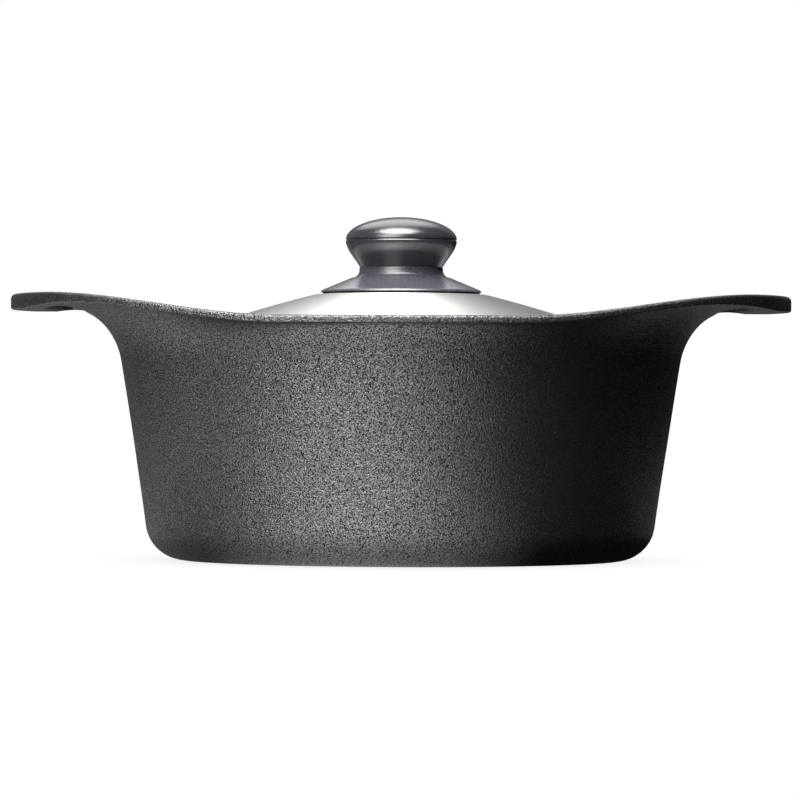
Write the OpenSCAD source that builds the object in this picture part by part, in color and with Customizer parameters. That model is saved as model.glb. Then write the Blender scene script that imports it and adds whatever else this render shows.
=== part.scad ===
// Two-handled cast iron pot with a drop-in stainless lid and a two-piece moulded knob.
// Origin at the centre of the base, +Z up, +X through the handles. Millimetres.

/* [Pot] */
// Width over both handles
width = 315; // [306:1:322]
// Depth over the front and back rim
depth = 241; // [238:1:246]
// Rim height at the front and back
rim_h = 97; // [95:0.5:98.5]
// Rim height at the handle tips
tip_h = 106.7; // [104:0.1:109]
// Radius of the flat base
base_r = 87.3; // [86:0.1:88.5]
// Radius of the corner between base and wall
corner_r = 15.5; // [14.5:0.5:16.5]
// Draft of the wall, in degrees
draft = 8.2; // [7.8:0.1:8.6]
// Thickness of the wall
wall_t = 4.2; // [3.6:0.1:5]
// Thickness of the base
base_t = 5; // [4:0.5:7]

/* [Handles] */
// Length of the finger slot
slot_len = 88; // [70:1:92]
// Width of the finger slot
slot_w = 17; // [14:0.5:18]
// Width of the bar outside the finger slot
bar_w = 13.5; // [8:0.5:14]
// Thickness of the handle at its tip
tip_t = 6.3; // [5:0.1:7.5]
// Thickness of the rim at the front and back
rim_t = 2.9; // [2.4:0.1:3.6]

/* [Lid] */
// Clearance round the lid's beaded edge
lid_gap = 1.4; // [0.8:0.1:1.6]
// Thickness of the lid's sheet
sheet_t = 0.8; // [0.6:0.1:1]
// Height of the pad under the knob above the table
pad_h = 107.4; // [106:0.1:109]

/* [Knob] */
// Widest radius of the grip
grip_r = 22.5; // [20:0.5:26]
// Radius of the neck between grip and skirt
neck_r = 16.9; // [15:0.1:18]
// Radius of the skirt
skirt_r = 32.5; // [30:0.5:36]
// Overall height with the lid on
total_h = 138.5; // [136:0.5:142]
// Radius of the knob screw's thread
screw_r = 2.5; // [2:0.5:3]

/* [Hidden] */
$fn = 96;

IRON = "#3a3938";
STEEL = "#c9c7c2";
PHENOLIC = "#3c3f46";
BRASS = "#c2a154";
RUBBER = "#18181a";

// Wall: a draft line with a slight bow, from the corner arc up to the start of the flare
flare_z = 80;
wall_bow = 0.00015;
floor_corner_r = 11;
bore_top_run = 12;

// Outer radius of the wall at height z
function wall_r(z) =
    let (d = z - corner_r) base_r + corner_r / cos(draft) + tan(draft) * d + wall_bow * d * d;
flare_r = wall_r(flare_z);

// Lid seat: a level ledge just inside the foot of the flare
seat_z = 84.5;
seat_rise = 0.5;
seat_r = flare_r - 2.1;
seat_ring_r = flare_r - 1.3;
bore_r = seat_r - 3.8;
lid_r = seat_r - lid_gap;

// Flare: a quarter ellipse that leaves the wall along its slope and ends level
flare_w = 19.1;
flare_blend = 3;
flare_slope = 0.166;
lip_w = 19;
lip_land = 1.4;
edge_low_r = 0.5;
edge_top_r = 1.3;

// Saddle: the rim climbs, and its edge thickens, from these distances out
saddle_x = 47;
saddle_run = 97;
thin_x = 108;
thin_run = 42;

// Rim skin: how finely it is divided, and how its foot sits inside the bowl's wall
sections = 96;
flare_steps = 8;
wall_steps = 5;
slot_sides = 48;
slot_margin = 5;
overlap = 4;
root_inset = 0.9;
ledge = 0.1;

// Lid
pad_r = 32.4;
dome_r0 = 33.6;
dome_slope = 0.2456;
bead_w = 1.9;
bead_h = 2.2;
flange_w = 7.5;
flange_bend = 0.5;
dome_bend_r = 1.6;
pad_bend = 0.6;
edge_break = 0.4;
screw_play = 0.3;
hole_r = screw_r + screw_play;

// Knob stack, from the lid's pad upwards
gasket_t = 0.6;
joint_z = 118.2;
widest_z = 129.3;
swell_power = 1.3;
skirt_slope = 21.6;
lip_h = 1;
lip_break = 0.3;
neck_fillet = 3.2;
spigot_r = 8;
spigot_h = 2;
spigot_play = 0.15;
bottom_play = 0.3;
insert_r = 4.5;
insert_h = 13;
washer_r = 7;
washer_t = 1;
washer_play = 0.2;
spring_r = 4.5;
spring_t = 1.2;
slit_w = 0.7;
slit_slope = 20;
head_r = 4.75;
head_h = 3;
head_edge = 1;
recess_l = 4.8;
recess_w = 1;
recess_d = 1.6;
tip_gap = 1;
tip_bevel = 0.5;

function lerp(a, b, t) = a + (b - a) * t;
function ease(t) = let (u = min(1, max(0, t))) u * u * (3 - 2 * u);
function soft_min(a, b, k) =
    let (h = max(0, k - abs(a - b)) / k) min(a, b) - h * h * k / 4;
function arc(cx, cz, r, a0, a1, n) =
    [for (i = [0:n]) let (a = lerp(a0, a1, i / n)) [cx + r * cos(a), cz + r * sin(a)]];

// --- The pot's own lines -------------------------------------------------

// Height of the rim's top over the plan distance x from the middle: a saddle
function rim_top(x) = rim_h + (tip_h - rim_h) * ease((abs(x) - saddle_x) / saddle_run);

// Thickness of the rim's edge at x
function rim_thick(x) =
    rim_t + (tip_t - rim_t) * pow(min(1, max(0, (abs(x) - thin_x) / thin_run)), 2);

// Outline radius at plan angle a. The rim's outline is an oval of two radii that meet
// tangent: a long one over the front and back, and a short one round each handle's tip.
front_arc_r = 182;
tip_arc_r = ((depth * front_arc_r) - pow(width / 2, 2) - pow(depth / 2, 2))
    / (2 * front_arc_r - width);
front_c = depth / 2 - front_arc_r;
tip_c = width / 2 - tip_arc_r;
join_a = atan2(-front_c, tip_c);
join_x = tip_c + tip_arc_r * cos(join_a);
join_y = tip_arc_r * sin(join_a);
function ray_to_arc(c, r, along) = along + sqrt(along * along - c * c + r * r);
function outline_r(a) =
    let (x = abs(cos(a)), y = abs(sin(a)))
    y * join_x < x * join_y
        ? ray_to_arc(tip_c, tip_arc_r, tip_c * x)
        : ray_to_arc(front_c, front_arc_r, front_c * y);

// One closed section of the rim at plan angle a, as [radius, height] points:
// up the outside, over the edge, across the top and down the inside.
function rim_section(a) =
    let (
        c = cos(a),
        out = outline_r(a),
        top = rim_top(out * c),
        thick = rim_thick(out * c),
        low = top - thick,
        w = soft_min(out - edge_low_r - flare_r, flare_w, flare_blend),
        h = low - flare_z,
        lean = flare_slope * h,
        round_r = min(edge_top_r, thick * 0.6),
        lip = soft_min(out - round_r - lip_land - seat_r, lip_w, flare_blend),
        lip_top = rim_top((seat_r + lip) * c)
    )
    concat(
        [[flare_r - root_inset, flare_z - overlap]],
        [for (i = [0:flare_steps]) let (f = 90 * i / flare_steps)
            [flare_r + lean * sin(f) + (w - lean) * (1 - cos(f)), flare_z + h * sin(f)]],
        [[(flare_r + w + out - edge_low_r) / 2, low]],
        arc(out - edge_low_r, low + edge_low_r, edge_low_r, -80, 0, 2),
        arc(out - round_r, top - round_r, round_r, 0, 90, 4),
        [for (t = [1 / 3, 2 / 3])
            let (r = lerp(out - round_r, seat_r + lip, t)) [r, rim_top(r * c)]],
        [for (i = [0:flare_steps]) let (f = 90 - 90 * i / flare_steps)
            [seat_r + lip * (1 - cos(f)), lerp(seat_z + seat_rise, lip_top, sin(f))]],
        [[seat_r, flare_z - overlap]]
    );

// Skin of the flared rim: the section swept once round, as a closed tube of triangles
module flared_rim() {
    rings = [for (i = [0:sections - 1]) rim_section(360 * i / sections)];
    n = len(rings[0]);
    points = [for (i = [0:sections - 1]) let (a = 360 * i / sections)
        for (p = rings[i]) [p[0] * cos(a), p[0] * sin(a), p[1]]];
    faces = [for (i = [0:sections - 1], j = [0:n - 1])
        let (
            i2 = (i + 1) % sections,
            j2 = (j + 1) % n,
            p = i * n + j, q = i2 * n + j, r = i2 * n + j2, s = i * n + j2
        )
        for (f = [[p, s, q], [q, s, r]]) f];
    polyhedron(points, faces);
}

// Bowl below the flare, turned about the axis, with the lid's seat inside its top edge
module bowl() {
    floor_r = wall_r(base_t + floor_corner_r) - wall_t - floor_corner_r;
    blend_z = flare_z - bore_top_run;
    mid_z = flare_z / 2;
    rotate_extrude($fn = 180)
        polygon(concat(
            [[0, 0]],
            arc(base_r, corner_r, corner_r, -90, -draft, 10),
            [for (i = [1:wall_steps]) let (t = i / wall_steps, z = lerp(corner_r, flare_z, t))
                [wall_r(z) + ledge * t, z]],
            [[seat_ring_r, flare_z], [seat_ring_r, seat_z], [bore_r, seat_z], [bore_r, blend_z]],
            [[wall_r(mid_z) - wall_t, mid_z]],
            arc(floor_r, base_t + floor_corner_r, floor_corner_r, -draft, -90, 8),
            [[0, base_t]]
        ));
}

// Long finger slot through one handle
module finger_slot() {
    cx = width / 2 - bar_w - slot_w / 2;
    translate([cx, 0, rim_h - slot_margin])
        linear_extrude(tip_h - rim_h + 2 * slot_margin)
            polygon([for (i = [0:slot_sides - 1]) let (a = 360 * i / slot_sides)
                [slot_w / 2 * cos(a), slot_len / 2 * sin(a)]]);
}

module pot_body() {
    color(IRON)
        difference() {
            union() {
                bowl();
                flared_rim();
            }
            for (side = [0, 180]) rotate(side) finger_slot();
        }
}

// --- Lid and knob --------------------------------------------------------

// Height of the lid's upper surface over its dome
flange_in_r = lid_r - flange_w;
dome_run = flange_in_r - dome_r0;
dome_drop = pad_h - seat_z - sheet_t;
dome_bend = (dome_drop / dome_run - dome_slope) / dome_run;
function dome_z(r) = let (d = r - dome_r0) pad_h - dome_slope * d - dome_bend * d * d;

module lid_shell() {
    bead_in = lid_r - bead_w;
    steps = 9;
    color(STEEL)
        rotate_extrude($fn = 180)
            polygon(concat(
                [[hole_r, pad_h], [pad_r, pad_h]],
                [for (i = [0:steps])
                    let (r = lerp(dome_r0 + pad_bend, flange_in_r - dome_bend_r, i / steps))
                    [r, dome_z(r)]],
                [[flange_in_r + flange_bend, seat_z + sheet_t], [bead_in, seat_z + sheet_t]],
                arc(bead_in + bead_w / 2, seat_z + bead_h - bead_w / 2, bead_w / 2, 150, 0, 6),
                [[lid_r, seat_z + edge_break], [lid_r - edge_break, seat_z]],
                [[flange_in_r + flange_bend, seat_z]],
                [for (i = [0:steps])
                    let (r = lerp(flange_in_r - dome_bend_r, dome_r0 + pad_bend, i / steps))
                    [r, dome_z(r) - sheet_t]],
                [[pad_r, pad_h - sheet_t], [hole_r, pad_h - sheet_t]]
            ));
}

module ring(r_in, r_out, z, h) {
    translate([0, 0, z])
        difference() {
            cylinder(h = h, r = r_out);
            translate([0, 0, -1]) cylinder(h = h + 2, r = r_in);
        }
}

module knob_gasket() {
    color(RUBBER) ring(hole_r, skirt_r - lip_break, pad_h, gasket_t);
}

// Flared foot of the knob, with a spigot that centres the grip
module knob_skirt() {
    foot_z = pad_h + gasket_t;
    cone_r = neck_r + neck_fillet;
    cone_top = foot_z + lip_h + (skirt_r - cone_r) * tan(skirt_slope);
    color(PHENOLIC)
        rotate_extrude()
            polygon(concat(
                [[hole_r, foot_z], [skirt_r - lip_break, foot_z], [skirt_r, foot_z + lip_break]],
                [[skirt_r, foot_z + lip_h - lip_break], [skirt_r - lip_break, foot_z + lip_h]],
                arc(cone_r, cone_top + neck_fillet, neck_fillet, -90 - skirt_slope, -180, 5),
                [[neck_r, joint_z], [spigot_r, joint_z], [spigot_r, joint_z + spigot_h]],
                [[hole_r, joint_z + spigot_h]]
            ));
}

// Flattened ball of the grip over a swelling neck
module knob_grip() {
    rise = total_h - widest_z;
    color(PHENOLIC)
        difference() {
            rotate_extrude()
                polygon(concat(
                    [[0, joint_z]],
                    [for (i = [0:9]) let (u = i / 9)
                        [neck_r + (grip_r - neck_r) * pow(sin(90 * u), swell_power),
                         lerp(joint_z, widest_z, u)]],
                    [for (a = [9:9:90]) [grip_r * cos(a), widest_z + rise * sin(a)]]
                ));
            translate([0, 0, joint_z - 1])
                cylinder(h = 1 + spigot_h + bottom_play, r = spigot_r + spigot_play);
            translate([0, 0, joint_z]) cylinder(h = spigot_h + bottom_play + insert_h, r = insert_r);
        }
}

// Threaded brass insert moulded into the grip
module knob_insert() {
    color(BRASS) ring(screw_r, insert_r, joint_z + spigot_h + bottom_play, insert_h);
}

// Cross-head screw from under the lid up into the insert
module knob_screw() {
    under = pad_h - sheet_t - washer_t - spring_t;
    foot = under - head_h;
    tip = joint_z + insert_h - tip_gap;
    color(STEEL)
        difference() {
            rotate_extrude()
                polygon([
                    [0, foot], [head_r - 2 * head_edge, foot],
                    [head_r - head_edge / 2, foot + head_edge], [head_r, under - head_edge],
                    [head_r, under], [screw_r, under],
                    [screw_r, tip - tip_bevel], [screw_r - tip_bevel, tip], [0, tip]
                ]);
            for (turn = [0, 90])
                rotate(turn)
                    translate([-recess_l / 2, -recess_w / 2, foot - 1])
                        cube([recess_l, recess_w, 1 + recess_d]);
        }
}

module flat_washer() {
    color(STEEL) ring(screw_r + washer_play, washer_r, pad_h - sheet_t - washer_t, washer_t);
}

// Split lock washer, pressed flat
module spring_washer() {
    z = pad_h - sheet_t - washer_t - spring_t;
    color(STEEL)
        difference() {
            ring(screw_r + washer_play, spring_r, z, spring_t);
            translate([0, 0, z])
                rotate([slit_slope, 0, 0])
                    translate([0, -slit_w / 2, -spring_r])
                        cube([2 * spring_r, slit_w, 2 * spring_r]);
        }
}

pot_body();
lid_shell();
knob_gasket();
knob_skirt();
knob_grip();
knob_insert();
knob_screw();
flat_washer();
spring_washer();
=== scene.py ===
"""Cast iron dutch oven with a drop-in steel lid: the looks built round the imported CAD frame.

Lengths in the profiles are millimetres, as on a drawing, and become metres in the meshes.
"""

import math

import bmesh
import bpy
import numpy as np
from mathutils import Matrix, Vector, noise


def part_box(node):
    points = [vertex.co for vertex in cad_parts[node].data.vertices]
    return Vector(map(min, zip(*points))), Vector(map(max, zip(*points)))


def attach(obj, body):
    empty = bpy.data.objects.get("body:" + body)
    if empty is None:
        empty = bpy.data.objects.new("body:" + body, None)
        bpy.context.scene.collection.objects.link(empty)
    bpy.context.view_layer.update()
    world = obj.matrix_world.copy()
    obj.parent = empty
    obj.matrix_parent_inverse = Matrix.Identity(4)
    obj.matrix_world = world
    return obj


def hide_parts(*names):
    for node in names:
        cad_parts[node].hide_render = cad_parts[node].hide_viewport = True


MM = 0.001

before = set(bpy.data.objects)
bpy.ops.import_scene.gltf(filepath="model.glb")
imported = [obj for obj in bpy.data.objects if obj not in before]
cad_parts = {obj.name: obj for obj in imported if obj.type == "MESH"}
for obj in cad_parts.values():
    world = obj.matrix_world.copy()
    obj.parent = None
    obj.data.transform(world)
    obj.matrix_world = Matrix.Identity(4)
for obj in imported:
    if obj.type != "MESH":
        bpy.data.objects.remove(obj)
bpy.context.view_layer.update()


# --- Driving sizes, read from the frame -------------------------------------------------


def node_mm(node):
    """Lowest and highest corner of a CAD node, in millimetres."""
    low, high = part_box(node)
    return [c / MM for c in low], [c / MM for c in high]


POT_LOW, POT_HIGH = node_mm("pot_body")
LID_LOW, LID_HIGH = node_mm("lid_shell")
GASKET_LOW, GASKET_HIGH = node_mm("knob_gasket")
SKIRT_LOW, SKIRT_HIGH = node_mm("knob_skirt")
GRIP_LOW, GRIP_HIGH = node_mm("knob_grip")

WIDTH = POT_HIGH[0] - POT_LOW[0]
DEPTH = POT_HIGH[1] - POT_LOW[1]
TIP_H = POT_HIGH[2]
SEAT_Z = LID_LOW[2]
LID_R = LID_HIGH[0]
PAD_H = LID_HIGH[2]

# The pot's casting
SADDLE_RISE = 9.7
RIM_H = TIP_H - SADDLE_RISE
BASE_R = 87.3
CORNER_R = 15.5
DRAFT = math.radians(8.2)
WALL_BOW = 0.00015
WALL_T = 4.2
BASE_T = 5.0
FLOOR_CORNER_R = 11.0
FLARE_Z = 80.0
LID_GAP = 1.4
SEAT_W = 3.8
SEAT_EDGE_R = 0.5
SEAT_R = LID_R + LID_GAP
BORE_R = SEAT_R - SEAT_W
BORE_END_Z = FLARE_Z - 12.0
INSIDE_TOP_Z = FLARE_Z - 14.0
FLARE_W = 19.1
FLARE_BLEND = 3.0
FLARE_SLOPE = 0.166
LIP_W = 19.0
LIP_LAND = 1.4
EDGE_LOW_R, TIP_LOW_R = 0.5, 1.0
EDGE_TOP_R, TIP_TOP_R = 1.3, 2.0
EDGE_SHARE = 0.6
SADDLE_X, SADDLE_RUN = 47.0, 97.0
RIM_T, TIP_T = 2.9, 6.3
THIN_X, THIN_RUN = 108.0, 42.0
TIP_X, TIP_RUN = 148.0, 8.0
FRONT_ARC_R = 182.0

# The finger slots
BAR_W = 13.5
SLOT_W, SLOT_LEN = 17.0, 88.0
SLOT_X = WIDTH / 2 - BAR_W - SLOT_W / 2
SLOT_EDGE_R = 1.5

# The lid's sheet
SHEET_T = 0.8
DOME_R0 = 33.6
DOME_SLOPE = 0.2456
FLANGE_W = 7.5
FLANGE_R = LID_R - FLANGE_W
BEAD_R = 0.95
BEAD_H = 2.2
HOLE_R = 2.8

# The knob
NECK_R = 16.9
WIDEST_Z = 129.3
SWELL_POWER = 1.3
SPIGOT_R, SPIGOT_H = 8.0, 2.0
SOCKET_R, SOCKET_H = 8.15, 2.3
SKIRT_SLOPE = 21.6
NECK_FILLET = 3.2
GASKET_INSET = 0.45


# --- Mesh helpers -----------------------------------------------------------------------


def lerp(a, b, t):
    return a + (b - a) * t


def ease(t):
    t = min(1.0, max(0.0, t))
    return t * t * (3 - 2 * t)


def soft_min(a, b, k):
    h = max(0.0, k - abs(a - b)) / k
    return min(a, b) - h * h * k / 4


def arc(cx, cz, r, start, end, steps):
    """Points of a round stretch, from one angle to another in degrees."""
    turns = [math.radians(lerp(start, end, i / steps)) for i in range(steps + 1)]
    return [(cx + r * math.cos(a), cz + r * math.sin(a)) for a in turns]


def run(start, end, steps):
    """Evenly spaced points after start, up to and with end."""
    (x0, z0), (x1, z1) = start, end
    return [(lerp(x0, x1, i / steps), lerp(z0, z1, i / steps)) for i in range(1, steps + 1)]


def skin(name, rings, closed=False):
    """A mesh from one section per plan angle, each a list of (radius, height) in millimetres.

    A section point on the axis is shared by all, and closed joins each section's ends.
    """
    on_axis = 1e-6
    turns, size = len(rings), len(rings[0])
    verts, index = [], []
    for j in range(size):
        if max(ring[j][0] for ring in rings) < on_axis:
            verts.append((0.0, 0.0, rings[0][j][1] * MM))
            index.append([len(verts) - 1] * turns)
            continue
        row = []
        for i, ring in enumerate(rings):
            a = 2 * math.pi * i / turns
            r, z = ring[j]
            verts.append((r * math.cos(a) * MM, r * math.sin(a) * MM, z * MM))
            row.append(len(verts) - 1)
        index.append(row)
    faces = []
    for j in range(size if closed else size - 1):
        near, far = index[j], index[(j + 1) % size]
        for i in range(turns):
            k = (i + 1) % turns
            corners = list(dict.fromkeys((near[i], near[k], far[k], far[i])))
            if len(corners) > 2:
                faces.append(corners)
    return add_mesh(name, verts, faces)


def add_mesh(name, verts, faces):
    mesh = bpy.data.meshes.new(name)
    mesh.from_pydata(verts, [], faces)
    obj = bpy.data.objects.new(name, mesh)
    bpy.context.collection.objects.link(obj)
    point_outwards(mesh)
    return obj


def point_outwards(mesh):
    work = bmesh.new()
    work.from_mesh(mesh)
    bmesh.ops.recalc_face_normals(work, faces=work.faces)
    work.to_mesh(mesh)
    work.free()


def turned(name, profile, segments, closed=False):
    """A turned piece: one section all the way round."""
    return skin(name, [profile] * segments, closed)


def cut(obj, cutter):
    """Takes the cutter out of obj, and removes the cutter."""
    step = obj.modifiers.new("cut", "BOOLEAN")
    step.operation = "DIFFERENCE"
    step.solver = "EXACT"
    step.object = cutter
    graph = bpy.context.evaluated_depsgraph_get()
    mesh = bpy.data.meshes.new_from_object(obj.evaluated_get(graph))
    obj.modifiers.clear()
    drop_slivers(mesh)
    obj.data = mesh
    bpy.data.objects.remove(cutter)


def drop_slivers(mesh):
    """Closes up the near-zero faces that a cut leaves where its edge passes close to a vertex."""
    near = 0.003 * MM
    work = bmesh.new()
    work.from_mesh(mesh)
    bmesh.ops.remove_doubles(work, verts=work.verts, dist=near)
    bmesh.ops.dissolve_degenerate(work, dist=near, edges=work.edges)
    work.to_mesh(mesh)
    work.free()


def crisp(obj, degrees):
    """Shades the piece smooth, with sharp edges where faces turn more than this."""
    obj.data.shade_smooth()
    obj.data.set_sharp_from_angle(angle=math.radians(degrees))


# --- The pot's lines --------------------------------------------------------------------


def wall_r(z):
    """Radius of the wall's outside at a height above the corner."""
    d = z - CORNER_R
    return BASE_R + CORNER_R / math.cos(DRAFT) + math.tan(DRAFT) * d + WALL_BOW * d * d


def rim_top(x):
    """Height of the saddle rim over the plan distance x from the middle."""
    return RIM_H + (TIP_H - RIM_H) * ease((abs(x) - SADDLE_X) / SADDLE_RUN)


def rim_thick(x):
    """Thickness of the rim's edge, which grows towards the handle tips."""
    grown = min(1.0, max(0.0, (abs(x) - THIN_X) / THIN_RUN)) ** 2
    return RIM_T + (TIP_T - RIM_T) * grown


def oval(angle):
    """Radius of the rim's outline: a long arc front and back, and a short one round each tip."""
    half_w, half_d = WIDTH / 2, DEPTH / 2
    tip_r = (DEPTH * FRONT_ARC_R - half_w ** 2 - half_d ** 2) / (2 * FRONT_ARC_R - WIDTH)
    front_c = half_d - FRONT_ARC_R
    tip_c = half_w - tip_r
    join = math.atan2(-front_c, tip_c)
    x, y = abs(math.cos(angle)), abs(math.sin(angle))
    if y * (tip_c + tip_r * math.cos(join)) < x * tip_r * math.sin(join):
        centre, r, along = tip_c, tip_r, tip_c * x
    else:
        centre, r, along = front_c, FRONT_ARC_R, front_c * y
    return along + math.sqrt(along * along - centre * centre + r * r)


def rim_low(angle):
    """Height of the rim's underside at a plan angle."""
    x = oval(angle) * math.cos(angle)
    return rim_top(x) - rim_thick(x)


def pot_section(angle):
    """The casting's section at one plan angle, out from the middle of the base, up and over
    the rim, and back to the middle of the floor inside."""
    c = math.cos(angle)
    out = oval(angle)
    top, low = rim_top(out * c), rim_low(angle)
    tip = ease((abs(out * c) - TIP_X) / TIP_RUN)
    low_r, top_r = lerp(EDGE_LOW_R, TIP_LOW_R, tip), lerp(EDGE_TOP_R, TIP_TOP_R, tip)
    flare_r = wall_r(FLARE_Z)
    flare = soft_min(out - low_r - flare_r, FLARE_W, FLARE_BLEND)
    rise = low - FLARE_Z
    lean = FLARE_SLOPE * rise
    round_r = min(top_r, (top - low) * EDGE_SHARE)
    lip = soft_min(out - round_r - LIP_LAND - SEAT_R, LIP_W, FLARE_BLEND)
    lip_top = rim_top((SEAT_R + lip) * c)

    base = [(0.0, 0.0)] + run((0, 0), (BASE_R, 0), 7)
    corner = arc(BASE_R, CORNER_R, CORNER_R, -90, -math.degrees(DRAFT), 14)[1:]
    wall = [(wall_r(z), z) for z in np.linspace(CORNER_R, FLARE_Z, 26)[2:-1]]
    bell = [
        (
            flare_r + lean * math.sin(f) + (flare - lean) * (1 - math.cos(f)),
            FLARE_Z + rise * math.sin(f),
        )
        for f in np.linspace(0, math.pi / 2, 19)
    ]
    under = run(bell[-1], (out - low_r, low), 5)
    edge = arc(out - low_r, low + low_r, low_r, -90, 0, 5)[1:]
    band = run(edge[-1], (out, top - round_r), 3)
    shoulder = arc(out - round_r, top - round_r, round_r, 0, 90, 7)[1:]
    land = [(r, rim_top(r * c)) for r in np.linspace(out - round_r, SEAT_R + lip, 9)[1:-1]]
    mouth = [
        (SEAT_R + lip * (1 - math.cos(f)), lerp(SEAT_Z + SEAT_EDGE_R, lip_top, math.sin(f)))
        for f in np.linspace(math.pi / 2, 0, 19)
    ]
    small = SEAT_EDGE_R
    seat = arc(SEAT_R - small, SEAT_Z + small, small, 0, -90, 3)[1:]
    seat += run((SEAT_R - small, SEAT_Z), (BORE_R + small, SEAT_Z), 3)
    bore = arc(BORE_R + small, SEAT_Z - small, small, 90, 180, 3)[1:]
    bore += run(bore[-1], (BORE_R, BORE_END_Z), 4)
    floor_z = BASE_T + FLOOR_CORNER_R
    inside = [
        (min(BORE_R, wall_r(z) - WALL_T), z) for z in np.linspace(INSIDE_TOP_Z, floor_z + 1, 18)
    ]
    floor_r = wall_r(floor_z) - WALL_T - FLOOR_CORNER_R
    floor = arc(floor_r, floor_z, FLOOR_CORNER_R, -math.degrees(DRAFT), -90, 10)
    floor += run((floor_r, BASE_T), (0, BASE_T), 6)
    outside = base + corner + wall + bell + under + edge + band + shoulder
    return outside + land + mouth + seat + bore + inside + floor


def slot_cutter(side):
    """The finger slot's own space, flared at both ends so that the slot's rims are rounded."""
    turns, steps = 96, 6
    first_angle, clear = 18, 4.0
    fall = [math.radians(a) for a in np.linspace(first_angle, 90, steps)]
    spread = [SLOT_EDGE_R * (1 - math.sin(a)) for a in fall]
    drop = [SLOT_EDGE_R * (1 - math.cos(a)) for a in fall]
    rings = []
    for offset, depth in [(spread[0], -clear)] + list(zip(spread, drop)):
        rings.append(("top", offset, depth))
    for offset, depth in list(zip(spread, drop))[::-1] + [(spread[0], -clear)]:
        rings.append(("under", offset, depth))
    verts, faces = [], []
    for place, offset, depth in rings:
        for i in range(turns):
            a = 2 * math.pi * i / turns
            x = SLOT_X + (SLOT_W / 2 + offset) * math.cos(a)
            y = (SLOT_LEN / 2 + offset) * math.sin(a)
            z = rim_top(x) - depth if place == "top" else rim_low(math.atan2(y, x)) + depth
            verts.append((side * x * MM, y * MM, z * MM))
    for j in range(len(rings) - 1):
        for i in range(turns):
            k = (i + 1) % turns
            near, far = j * turns, (j + 1) * turns
            faces.append((near + i, near + k, far + k, far + i))
    faces.append(tuple(range(turns)))
    faces.append(tuple(range((len(rings) - 1) * turns, len(rings) * turns)))
    return add_mesh("slot_cutter", verts, faces)


def make_pot():
    turns = 360
    pot = skin("pot_casting", [pot_section(2 * math.pi * i / turns) for i in range(turns)])
    unevenness(pot)
    for side in (1, -1):
        cut(pot, slot_cutter(side))
    crisp(pot, 40)
    return pot


def unevenness(pot):
    """Lets the cast outside wander by up to the swing, as sand moulding leaves it."""
    swing, spacing = 0.14, 0.03
    side_fade, foot_gap, foot_fade = 6, 1, 4
    rim_gap, rim_fade = 4, 6
    skin_depth = WALL_T * 0.6
    for v in pot.data.vertices:
        r = math.hypot(v.co.x, v.co.y) / MM
        z = v.co.z / MM
        outside = (
            ease((r - BASE_R) / side_fade)
            * ease((z - foot_gap) / foot_fade)
            * ease((RIM_H - rim_gap - z) / rim_fade)
        )
        if r > wall_r(max(z, CORNER_R)) - skin_depth and outside > 0:
            push = swing * MM * outside * noise.noise(v.co / spacing)
            v.co.x += push * v.co.x / (r * MM)
            v.co.y += push * v.co.y / (r * MM)


# --- The lid and the knob ---------------------------------------------------------------


def dome_z(r):
    """Height of the lid's upper face over its dome, which ends level with the flange."""
    length = FLANGE_R - DOME_R0
    fall = PAD_H - SEAT_Z - SHEET_T
    bend = (fall / length - DOME_SLOPE) / length
    d = r - DOME_R0
    return PAD_H - DOME_SLOPE * d - bend * d * d


def make_lid():
    """The pressed sheet: pad, dome, flange and beaded edge, then the same lines back beneath."""
    flange_z, under_z = SEAT_Z + SHEET_T, PAD_H - SHEET_T
    pad_end, dome_start = DOME_R0 - 1.6, DOME_R0 + 1.2
    dome_end, flange_start = FLANGE_R - 1.8, FLANGE_R + 0.4
    toe_r, toe_rise = FLANGE_R - 0.6, 0.12
    bead_x, bead_foot, hem_r = LID_R - BEAD_R, 1.3, 0.5
    under_pad_end, under_dome_start = DOME_R0 - 1.7, DOME_R0 + 1.0
    under_dome_end, under_flange_start = FLANGE_R - 2.2, FLANGE_R + 0.3
    pad = [(HOLE_R, PAD_H)] + run((HOLE_R, PAD_H), (pad_end, PAD_H), 5)
    dome = [(r, dome_z(r)) for r in np.linspace(dome_start, dome_end, 26)]
    flange = [(toe_r, flange_z + toe_rise)]
    flange += run((flange_start, flange_z), (bead_x - bead_foot, flange_z), 3)
    bead = arc(bead_x, SEAT_Z + BEAD_H - BEAD_R, BEAD_R, 168, 0, 9)
    bead += arc(LID_R - hem_r, SEAT_Z + hem_r, hem_r, 0, -90, 4)
    under_flange = run(bead[-1], (under_flange_start, SEAT_Z), 5)
    under_dome = [
        (r, dome_z(r) - SHEET_T) for r in np.linspace(under_dome_end, under_dome_start, 26)
    ]
    under_pad = [(under_pad_end, under_z)]
    under_pad += run((under_pad_end, under_z), (HOLE_R, under_z), 5)
    profile = pad + dome + flange + bead + under_flange + under_dome + under_pad
    lid = turned("lid_sheet", profile, 288, closed=True)
    crisp(lid, 50)
    return lid


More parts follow.
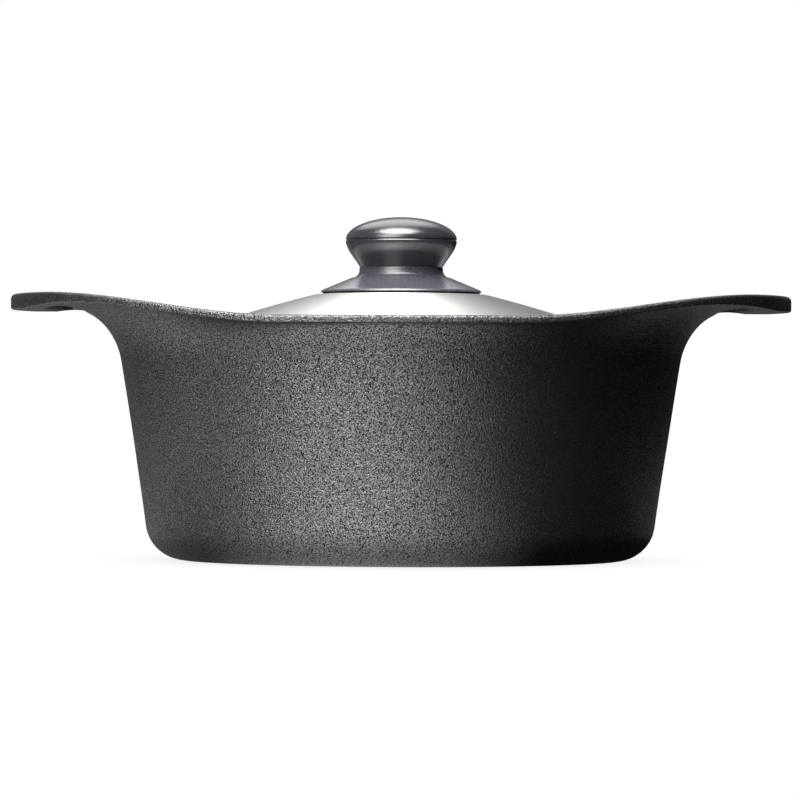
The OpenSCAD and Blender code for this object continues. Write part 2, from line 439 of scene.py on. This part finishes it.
def make_grip():
    """Flattened ball over a swelling neck, with the mould's parting line at its widest."""
    foot = GRIP_LOW[2]
    widest_r = GRIP_HIGH[0]
    rise = GRIP_HIGH[2] - WIDEST_Z
    groove, gap, chamfer, draft = 0.5, 0.2, 0.4, 0.04
    low_lip, high_lip = 0.28, 0.06
    foot_edge, swell_start = 0.45, 0.07
    ceiling = foot + SOCKET_H
    hollow = [(0.0, ceiling), (SOCKET_R, ceiling), (SOCKET_R, foot), (NECK_R - foot_edge, foot)]
    neck = arc(NECK_R - foot_edge, foot + foot_edge, foot_edge, -80, -8, 4)
    swell = []
    for u in np.linspace(swell_start, 1 - (gap + chamfer) / (WIDEST_Z - foot), 26):
        r = NECK_R + (widest_r - NECK_R) * math.sin(math.pi / 2 * u) ** SWELL_POWER
        swell.append((r, lerp(foot, WIDEST_Z, u)))
    parting = [
        (widest_r - low_lip, WIDEST_Z - gap),
        (widest_r - groove, WIDEST_Z - gap + draft),
        (widest_r - groove, WIDEST_Z + gap - draft),
        (widest_r - high_lip, WIDEST_Z + gap),
    ]
    ball = [
        (widest_r * math.cos(a), WIDEST_Z + rise * math.sin(a))
        for a in [math.radians(d) for d in np.linspace(2.0, 90, 34)]
    ]
    ball[-1] = (0.0, GRIP_HIGH[2])
    grip = turned("knob_grip_moulding", hollow + neck + swell + parting + ball, 192)
    crisp(grip, 30)
    return grip


def make_skirt():
    """Flared foot of the knob: bevelled lip, cone, concave neck, and the spigot into the grip."""
    foot, top = SKIRT_LOW[2], SKIRT_HIGH[2] - SPIGOT_H
    r = SKIRT_HIGH[0]
    lip, foot_r, under_end = 1.0, 0.25, 0.35
    bevel_z, bevel = 0.38, 0.6
    cone_r, cone_rise = 0.8, 0.09
    collar_r = 0.4
    slope = math.radians(SKIRT_SLOPE)
    fillet = NECK_FILLET
    cone_top = foot + lip + (r - NECK_R - fillet) * math.tan(slope)
    under = [(HOLE_R, foot), (r - under_end, foot)]
    edge = arc(r - foot_r, foot + foot_r, foot_r, -90, 0, 3)[1:]
    edge += [(r, foot + under_end)]
    edge += run((r, foot + bevel_z), (r - bevel, foot + bevel_z + bevel), 3)
    edge += [(r - cone_r, foot + lip + cone_rise)]
    cone = run(edge[-1], (NECK_R + fillet, cone_top), 12)
    neck = arc(NECK_R + fillet, cone_top + fillet, fillet, -90 - SKIRT_SLOPE, -180, 10)[1:]
    collar = arc(NECK_R - collar_r, top - collar_r, collar_r, 0, 90, 4)
    spigot = [(SPIGOT_R, top), (SPIGOT_R, SKIRT_HIGH[2]), (HOLE_R, SKIRT_HIGH[2])]
    profile = under + edge + cone + neck + collar + spigot
    skirt = turned("knob_skirt_moulding", profile, 192, closed=True)
    crisp(skirt, 30)
    return skirt


def make_gasket():
    """The washer under the skirt, drawn in from its lip so that it shows as a dark line."""
    low, high, r = GASKET_LOW[2], GASKET_HIGH[2], GASKET_HIGH[0] - GASKET_INSET
    bulge = (high - low) / 2
    profile = [(HOLE_R, low), (r - bulge, low)]
    profile += arc(r - bulge, low + bulge, bulge, -80, 80, 6)
    profile += [(r - bulge, high), (HOLE_R, high)]
    gasket = turned("knob_gasket_ring", profile, 128, closed=True)
    crisp(gasket, 45)
    return gasket


# --- Materials --------------------------------------------------------------------------


# The stretch of a noise field that holds nearly all of it
NOISE_LOW, NOISE_HIGH = 0.3, 0.7
# Places of a colour mix's sockets
MIX_FIRST, MIX_SECOND, MIX_OUT = 6, 7, 2


class Shader:
    """A material's node tree, with short calls for the nodes that the materials share."""

    def __init__(self, name):
        self.material = bpy.data.materials.new(name)
        self.material.use_nodes = True
        self.tree = self.material.node_tree
        self.surface = self.tree.nodes["Principled BSDF"]
        self.coords = self.tree.nodes.new("ShaderNodeTexCoord").outputs["Object"]

    def add(self, kind, **values):
        made = self.tree.nodes.new(kind)
        for key, value in values.items():
            if key in made.inputs:
                made.inputs[key].default_value = value
            else:
                setattr(made, key, value)
        return made

    def link(self, source, target):
        self.tree.links.new(source, target)

    def set(self, **values):
        for key, value in values.items():
            self.surface.inputs[key.replace("_", " ")].default_value = value

    def grain(self, per_metre, detail=2.0, coords=None):
        """A noise field with about this many features to the metre."""
        made = self.add("ShaderNodeTexNoise", Scale=per_metre, Detail=detail)
        self.link(coords or self.coords, made.inputs["Vector"])
        return made.outputs["Fac"]

    def spread(self, source, low, high, to_low, to_high):
        """Stretches a field from one range to another, held at both ends."""
        made = self.add("ShaderNodeMapRange")
        ends = {"From Min": low, "From Max": high, "To Min": to_low, "To Max": to_high}
        for key, value in ends.items():
            made.inputs[key].default_value = value
        self.link(source, made.inputs["Value"])
        return made.outputs["Result"]

    def vary(self, noise_field, low, high):
        """A value that a noise field moves between two ends."""
        return self.spread(noise_field, NOISE_LOW, NOISE_HIGH, low, high)

    def blend(self, factor, first, second):
        """A colour between two, by a field."""
        made = self.add("ShaderNodeMix", data_type="RGBA")
        self.link(factor, made.inputs["Factor"])
        for place, colour in ((MIX_FIRST, first), (MIX_SECOND, second)):
            socket = made.inputs[place]
            if isinstance(colour, tuple):
                socket.default_value = (*colour, 1.0)
            else:
                self.link(colour, socket)
        return made.outputs[MIX_OUT]

    def bump(self, height, depth_mm, normal=None):
        """Relief of this depth from a field."""
        made = self.add("ShaderNodeBump", Strength=1.0, Distance=depth_mm * MM)
        self.link(height, made.inputs["Height"])
        if normal:
            self.link(normal, made.inputs["Normal"])
        return made.outputs["Normal"]

    def finish(self, colour=None, rough=None, normal=None):
        for source, name in ((colour, "Base Color"), (rough, "Roughness"), (normal, "Normal")):
            if source:
                self.link(source, self.surface.inputs[name])
        return self.material


def iron_material():
    """Seasoned sand-cast iron: near black, pebbled, a little uneven in tone and gloss, with
    painted shade in the pebbles' hollows, which are coloured darker and made less metallic than
    the tops.
    """
    s = Shader("cast_iron")
    pebble = s.grain(2100, detail=0.0)
    cloud = s.grain(28, detail=3.0)
    height = s.spread(pebble, 0.33, 0.66, 0.0, 1.0)
    tops = s.blend(cloud, (0.155, 0.147, 0.155), (0.195, 0.184, 0.195))
    # Painted shade: the pebbles' hollows get a near-black colour and their tops a lighter one,
    # standing for the shading of the grain.
    colour = s.blend(height, (0.012, 0.0115, 0.012), tops)
    rough = s.vary(cloud, 0.34, 0.40)
    normal = s.bump(cloud, 0.25)
    normal = s.bump(pebble, 0.28, normal)
    # Painted shade: the hollows are made less metallic, so they reflect little light from any
    # side.
    s.link(s.spread(height, 0.0, 0.5, 0.3, 1.0), s.surface.inputs["Metallic"])
    s.set(Specular_IOR_Level=0.0)
    return s.finish(colour, rough, normal)


def steel_material():
    """Satin stainless sheet, spun in circles."""
    s = Shader("satin_steel")
    fine = s.grain(1900, detail=1.0)
    cloud = s.grain(18, detail=2.0)
    flat = s.add("ShaderNodeVectorMath", operation="MULTIPLY")
    flat.inputs[1].default_value = (1.0, 1.0, 0.0)
    s.link(s.coords, flat.inputs[0])
    radius = s.add("ShaderNodeVectorMath", operation="LENGTH")
    s.link(flat.outputs["Vector"], radius.inputs[0])
    line = s.add("ShaderNodeCombineXYZ")
    s.link(radius.outputs["Value"], line.inputs["X"])
    rings = s.vary(s.grain(1100, detail=3.0, coords=line.outputs["Vector"]), 0.0, 1.0)
    tone = s.blend(cloud, (0.55, 0.54, 0.525), (0.60, 0.59, 0.575))
    colour = s.blend(rings, (0.52, 0.51, 0.495), tone)
    rough = s.vary(fine, 0.46, 0.58)
    normal = s.bump(fine, 0.11)
    s.set(Metallic=1.0, Anisotropic=0.75, Anisotropic_Rotation=0.25)
    spin = s.add("ShaderNodeTangent", direction_type="RADIAL", axis="Z")
    s.link(spin.outputs["Tangent"], s.surface.inputs["Tangent"])
    return s.finish(colour, rough, normal)


def phenolic_material(name, first, second, low, high):
    """Charcoal moulding with a fine eggshell surface, between two tones and two roughnesses."""
    s = Shader(name)
    fine = s.grain(1500, detail=2.0)
    cloud = s.grain(60, detail=2.0)
    colour = s.blend(cloud, first, second)
    rough = s.vary(fine, low, high)
    normal = s.bump(fine, 0.05)
    s.set(Specular_IOR_Level=0.8)
    return s.finish(colour, rough, normal)


def gasket_material():
    """Matt black, for the washer under the knob; its near-black tone and faint gloss are partly
    painted shade, standing for the shadow in the gap under the skirt.
    """
    s = Shader("gasket_black_gap_shade")
    fine = s.grain(1200)
    # Painted shade: a colour darker than the washer's own black, for the shadow under the skirt's
    # lip.
    colour = s.blend(fine, (0.003, 0.003, 0.003), (0.006, 0.006, 0.006))
    rough = s.vary(fine, 0.6, 0.8)
    s.set(Specular_IOR_Level=0.15)
    return s.finish(colour, rough, s.bump(fine, 0.04))


def brass_material():
    """Turned brass, for the insert."""
    s = Shader("turned_brass")
    fine = s.grain(1500)
    colour = s.blend(fine, (0.55, 0.38, 0.13), (0.66, 0.48, 0.2))
    s.set(Metallic=1.0)
    return s.finish(colour, s.vary(fine, 0.25, 0.4), s.bump(fine, 0.02))


def plated_material():
    """Bright plated steel, for the screw and its washers."""
    s = Shader("plated_steel")
    fine = s.grain(1500)
    colour = s.blend(fine, (0.5, 0.5, 0.5), (0.6, 0.6, 0.6))
    s.set(Metallic=1.0)
    return s.finish(colour, s.vary(fine, 0.2, 0.34), s.bump(fine, 0.015))


def dress(obj, material):
    obj.data.materials.clear()
    obj.data.materials.append(material)


# --- The studio -------------------------------------------------------------------------


def make_camera():
    """A long lens at about three fifths of the pot's height, square to its front."""
    aside, away, height, roll = -0.0003, 1.95, 0.0646, -0.22
    camera = bpy.data.objects.new("camera", bpy.data.cameras.new("camera"))
    camera.data.lens = 217.0
    camera.data.sensor_width = 36.0
    camera.data.clip_start = 0.1
    camera.data.clip_end = 100.0
    camera.location = (aside, -away, height)
    camera.rotation_euler = (math.radians(90), math.radians(roll), 0.0)
    bpy.context.collection.objects.link(camera)
    bpy.context.scene.camera = camera


def direction(azimuth, elevation):
    """Unit vector towards a light: azimuth 0 is the camera's side and 90 the right-hand side."""
    a, e = math.radians(azimuth), math.radians(elevation)
    return (math.sin(a) * math.cos(e), -math.cos(a) * math.cos(e), math.sin(e))


# Soft boxes: azimuth, elevation, radius of the even middle, radius of the faded edge, strength
SOFT_BOXES = (
    (-25, 25, 9, 31, 8.0),
    (-20, 75, 15, 32, 15.5),
    (-100, 3, 25, 60, 0.08),
    (186, 46, 10, 26, 2.4),
    (215, 10, 10, 30, 0.15),
    (158, 24, 6, 24, 0.2),
)
# Pools of light on the floor: x, y, radius of the even middle, radius of the faded edge, strength
POOLS = (
    (-0.04, -0.19, 0.03, 0.15, 2.6),
    (-0.22, -0.62, 0.05, 0.50, 0.6),
    (-0.36, -0.07, 0.12, 0.32, 1.3),
    (0.175, 0.07, 0.0, 0.075, 0.6),
    (-0.18, 0.07, 0.02, 0.085, 0.5),
    (-0.5, 1.5, 0.2, 1.2, 0.4),
    (0.0, 0.50, 0.10, 0.45, 0.4),
)
AMBIENT = 0.015


def fading_sum(tree, distances, ambient):
    """Adds up lights that each fade out between two distances.

    A row holds a socket with the distance, the two distances and the strength.
    """
    total = None
    for distance, middle, edge, strength in distances:
        fade = tree.nodes.new("ShaderNodeMapRange")
        fade.interpolation_type = "SMOOTHSTEP"
        fade.inputs["From Min"].default_value = edge
        fade.inputs["From Max"].default_value = middle
        fade.inputs["To Max"].default_value = strength
        tree.links.new(distance, fade.inputs["Value"])
        both = tree.nodes.new("ShaderNodeMath")
        both.inputs[0].default_value = ambient
        if total:
            tree.links.new(total, both.inputs[0])
        tree.links.new(fade.outputs["Result"], both.inputs[1])
        total = both.outputs["Value"]
    return total


def make_world():
    """White to the camera; to everything else, a dim studio with soft boxes."""
    world = bpy.data.worlds.new("studio")
    bpy.context.scene.world = world
    world.use_nodes = True
    tree = world.node_tree
    tree.nodes.clear()
    coords = tree.nodes.new("ShaderNodeTexCoord").outputs["Generated"]
    rows = []
    for azimuth, elevation, *radii, strength in SOFT_BOXES:
        dot = tree.nodes.new("ShaderNodeVectorMath")
        dot.operation = "DOT_PRODUCT"
        dot.inputs[1].default_value = direction(azimuth, elevation)
        tree.links.new(coords, dot.inputs[0])
        middle, edge = (math.cos(math.radians(radius)) for radius in radii)
        rows.append((dot.outputs["Value"], middle, edge, strength))
    lamp = tree.nodes.new("ShaderNodeBackground")
    lamp.inputs["Color"].default_value = (1.0, 1.0, 1.0, 1.0)
    tree.links.new(fading_sum(tree, rows, AMBIENT), lamp.inputs["Strength"])
    paper = tree.nodes.new("ShaderNodeBackground")
    paper.inputs["Color"].default_value = (1.0, 1.0, 1.0, 1.0)
    seen = tree.nodes.new("ShaderNodeLightPath")
    pick = tree.nodes.new("ShaderNodeMixShader")
    tree.links.new(seen.outputs["Is Camera Ray"], pick.inputs["Fac"])
    tree.links.new(lamp.outputs["Background"], pick.inputs[1])
    tree.links.new(paper.outputs["Background"], pick.inputs[2])
    out = tree.nodes.new("ShaderNodeOutputWorld")
    tree.links.new(pick.outputs["Shader"], out.inputs["Surface"])


def floor_material():
    """White paper with a soft contact shadow to the camera, pools of light to all else."""
    shadow_reach, shadow_tone, open_floor = 0.035, 0.85, 0.9
    s = Shader("paper_floor")
    rows = []
    for x, y, middle, edge, strength in POOLS:
        away = s.add("ShaderNodeVectorMath", operation="DISTANCE")
        away.inputs[1].default_value = (x, y, 0.0)
        s.link(s.coords, away.inputs[0])
        rows.append((away.outputs["Value"], middle, edge, strength))
    lit = s.add("ShaderNodeEmission")
    s.link(fading_sum(s.tree, rows, AMBIENT), lit.inputs["Strength"])
    shade = s.add("ShaderNodeAmbientOcclusion", Distance=shadow_reach, samples=16)
    paper = s.add("ShaderNodeEmission")
    tone = s.spread(shade.outputs["AO"], 0.0, open_floor, shadow_tone, 1.0)
    s.link(tone, paper.inputs["Strength"])
    seen = s.add("ShaderNodeLightPath")
    pick = s.add("ShaderNodeMixShader")
    s.link(seen.outputs["Is Camera Ray"], pick.inputs["Fac"])
    s.link(lit.outputs["Emission"], pick.inputs[1])
    s.link(paper.outputs["Emission"], pick.inputs[2])
    s.link(pick.outputs["Shader"], s.tree.nodes["Material Output"].inputs["Surface"])
    s.tree.nodes.remove(s.surface)
    return s.material


def make_floor():
    """A wide sheet just clear of the pot's base."""
    size, clearance = 40.0, 0.0002
    corners = [(-size, -size, 0), (size, -size, 0), (size, size, 0), (-size, size, 0)]
    floor = add_mesh("floor", corners, [(0, 1, 2, 3)])
    floor.location.z = -clearance
    dress(floor, floor_material())


# --- Putting it together ----------------------------------------------------------------

make_camera()
make_world()
make_floor()
bpy.context.scene.view_settings.view_transform = "Standard"

IRON = iron_material()
STEEL = steel_material()
# Grip and skirt are the same charcoal phenolic: the grip's copy is coloured darker, as painted
# shade, and the skirt's copy lighter, as painted light.
SHADED_GRIP_PHENOLIC = phenolic_material(
    "charcoal_grip_painted_shade", (0.018, 0.019, 0.023), (0.023, 0.0245, 0.029), 0.19, 0.24
)
LIT_SKIRT_PHENOLIC = phenolic_material(
    "charcoal_skirt_painted_light", (0.040, 0.042, 0.050), (0.048, 0.050, 0.060), 0.24, 0.30
)

for make, material, body, node, slot in (
    (make_pot, IRON, "pot", "pot_body", "cast_iron"),
    (make_lid, STEEL, "lid", "lid_shell", "stainless"),
    (make_grip, SHADED_GRIP_PHENOLIC, "lid", "knob_grip", "phenolic"),
    (make_skirt, LIT_SKIRT_PHENOLIC, "lid", "knob_skirt", "phenolic"),
    (make_gasket, gasket_material(), "lid", "knob_gasket", "gasket"),
):
    piece = make()
    dress(piece, material)
    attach(piece, body)
    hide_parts(node)

dress(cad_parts["knob_insert"], brass_material())
PLATED = plated_material()
for node in ("knob_screw", "flat_washer", "spring_washer"):
    dress(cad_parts[node], PLATED)
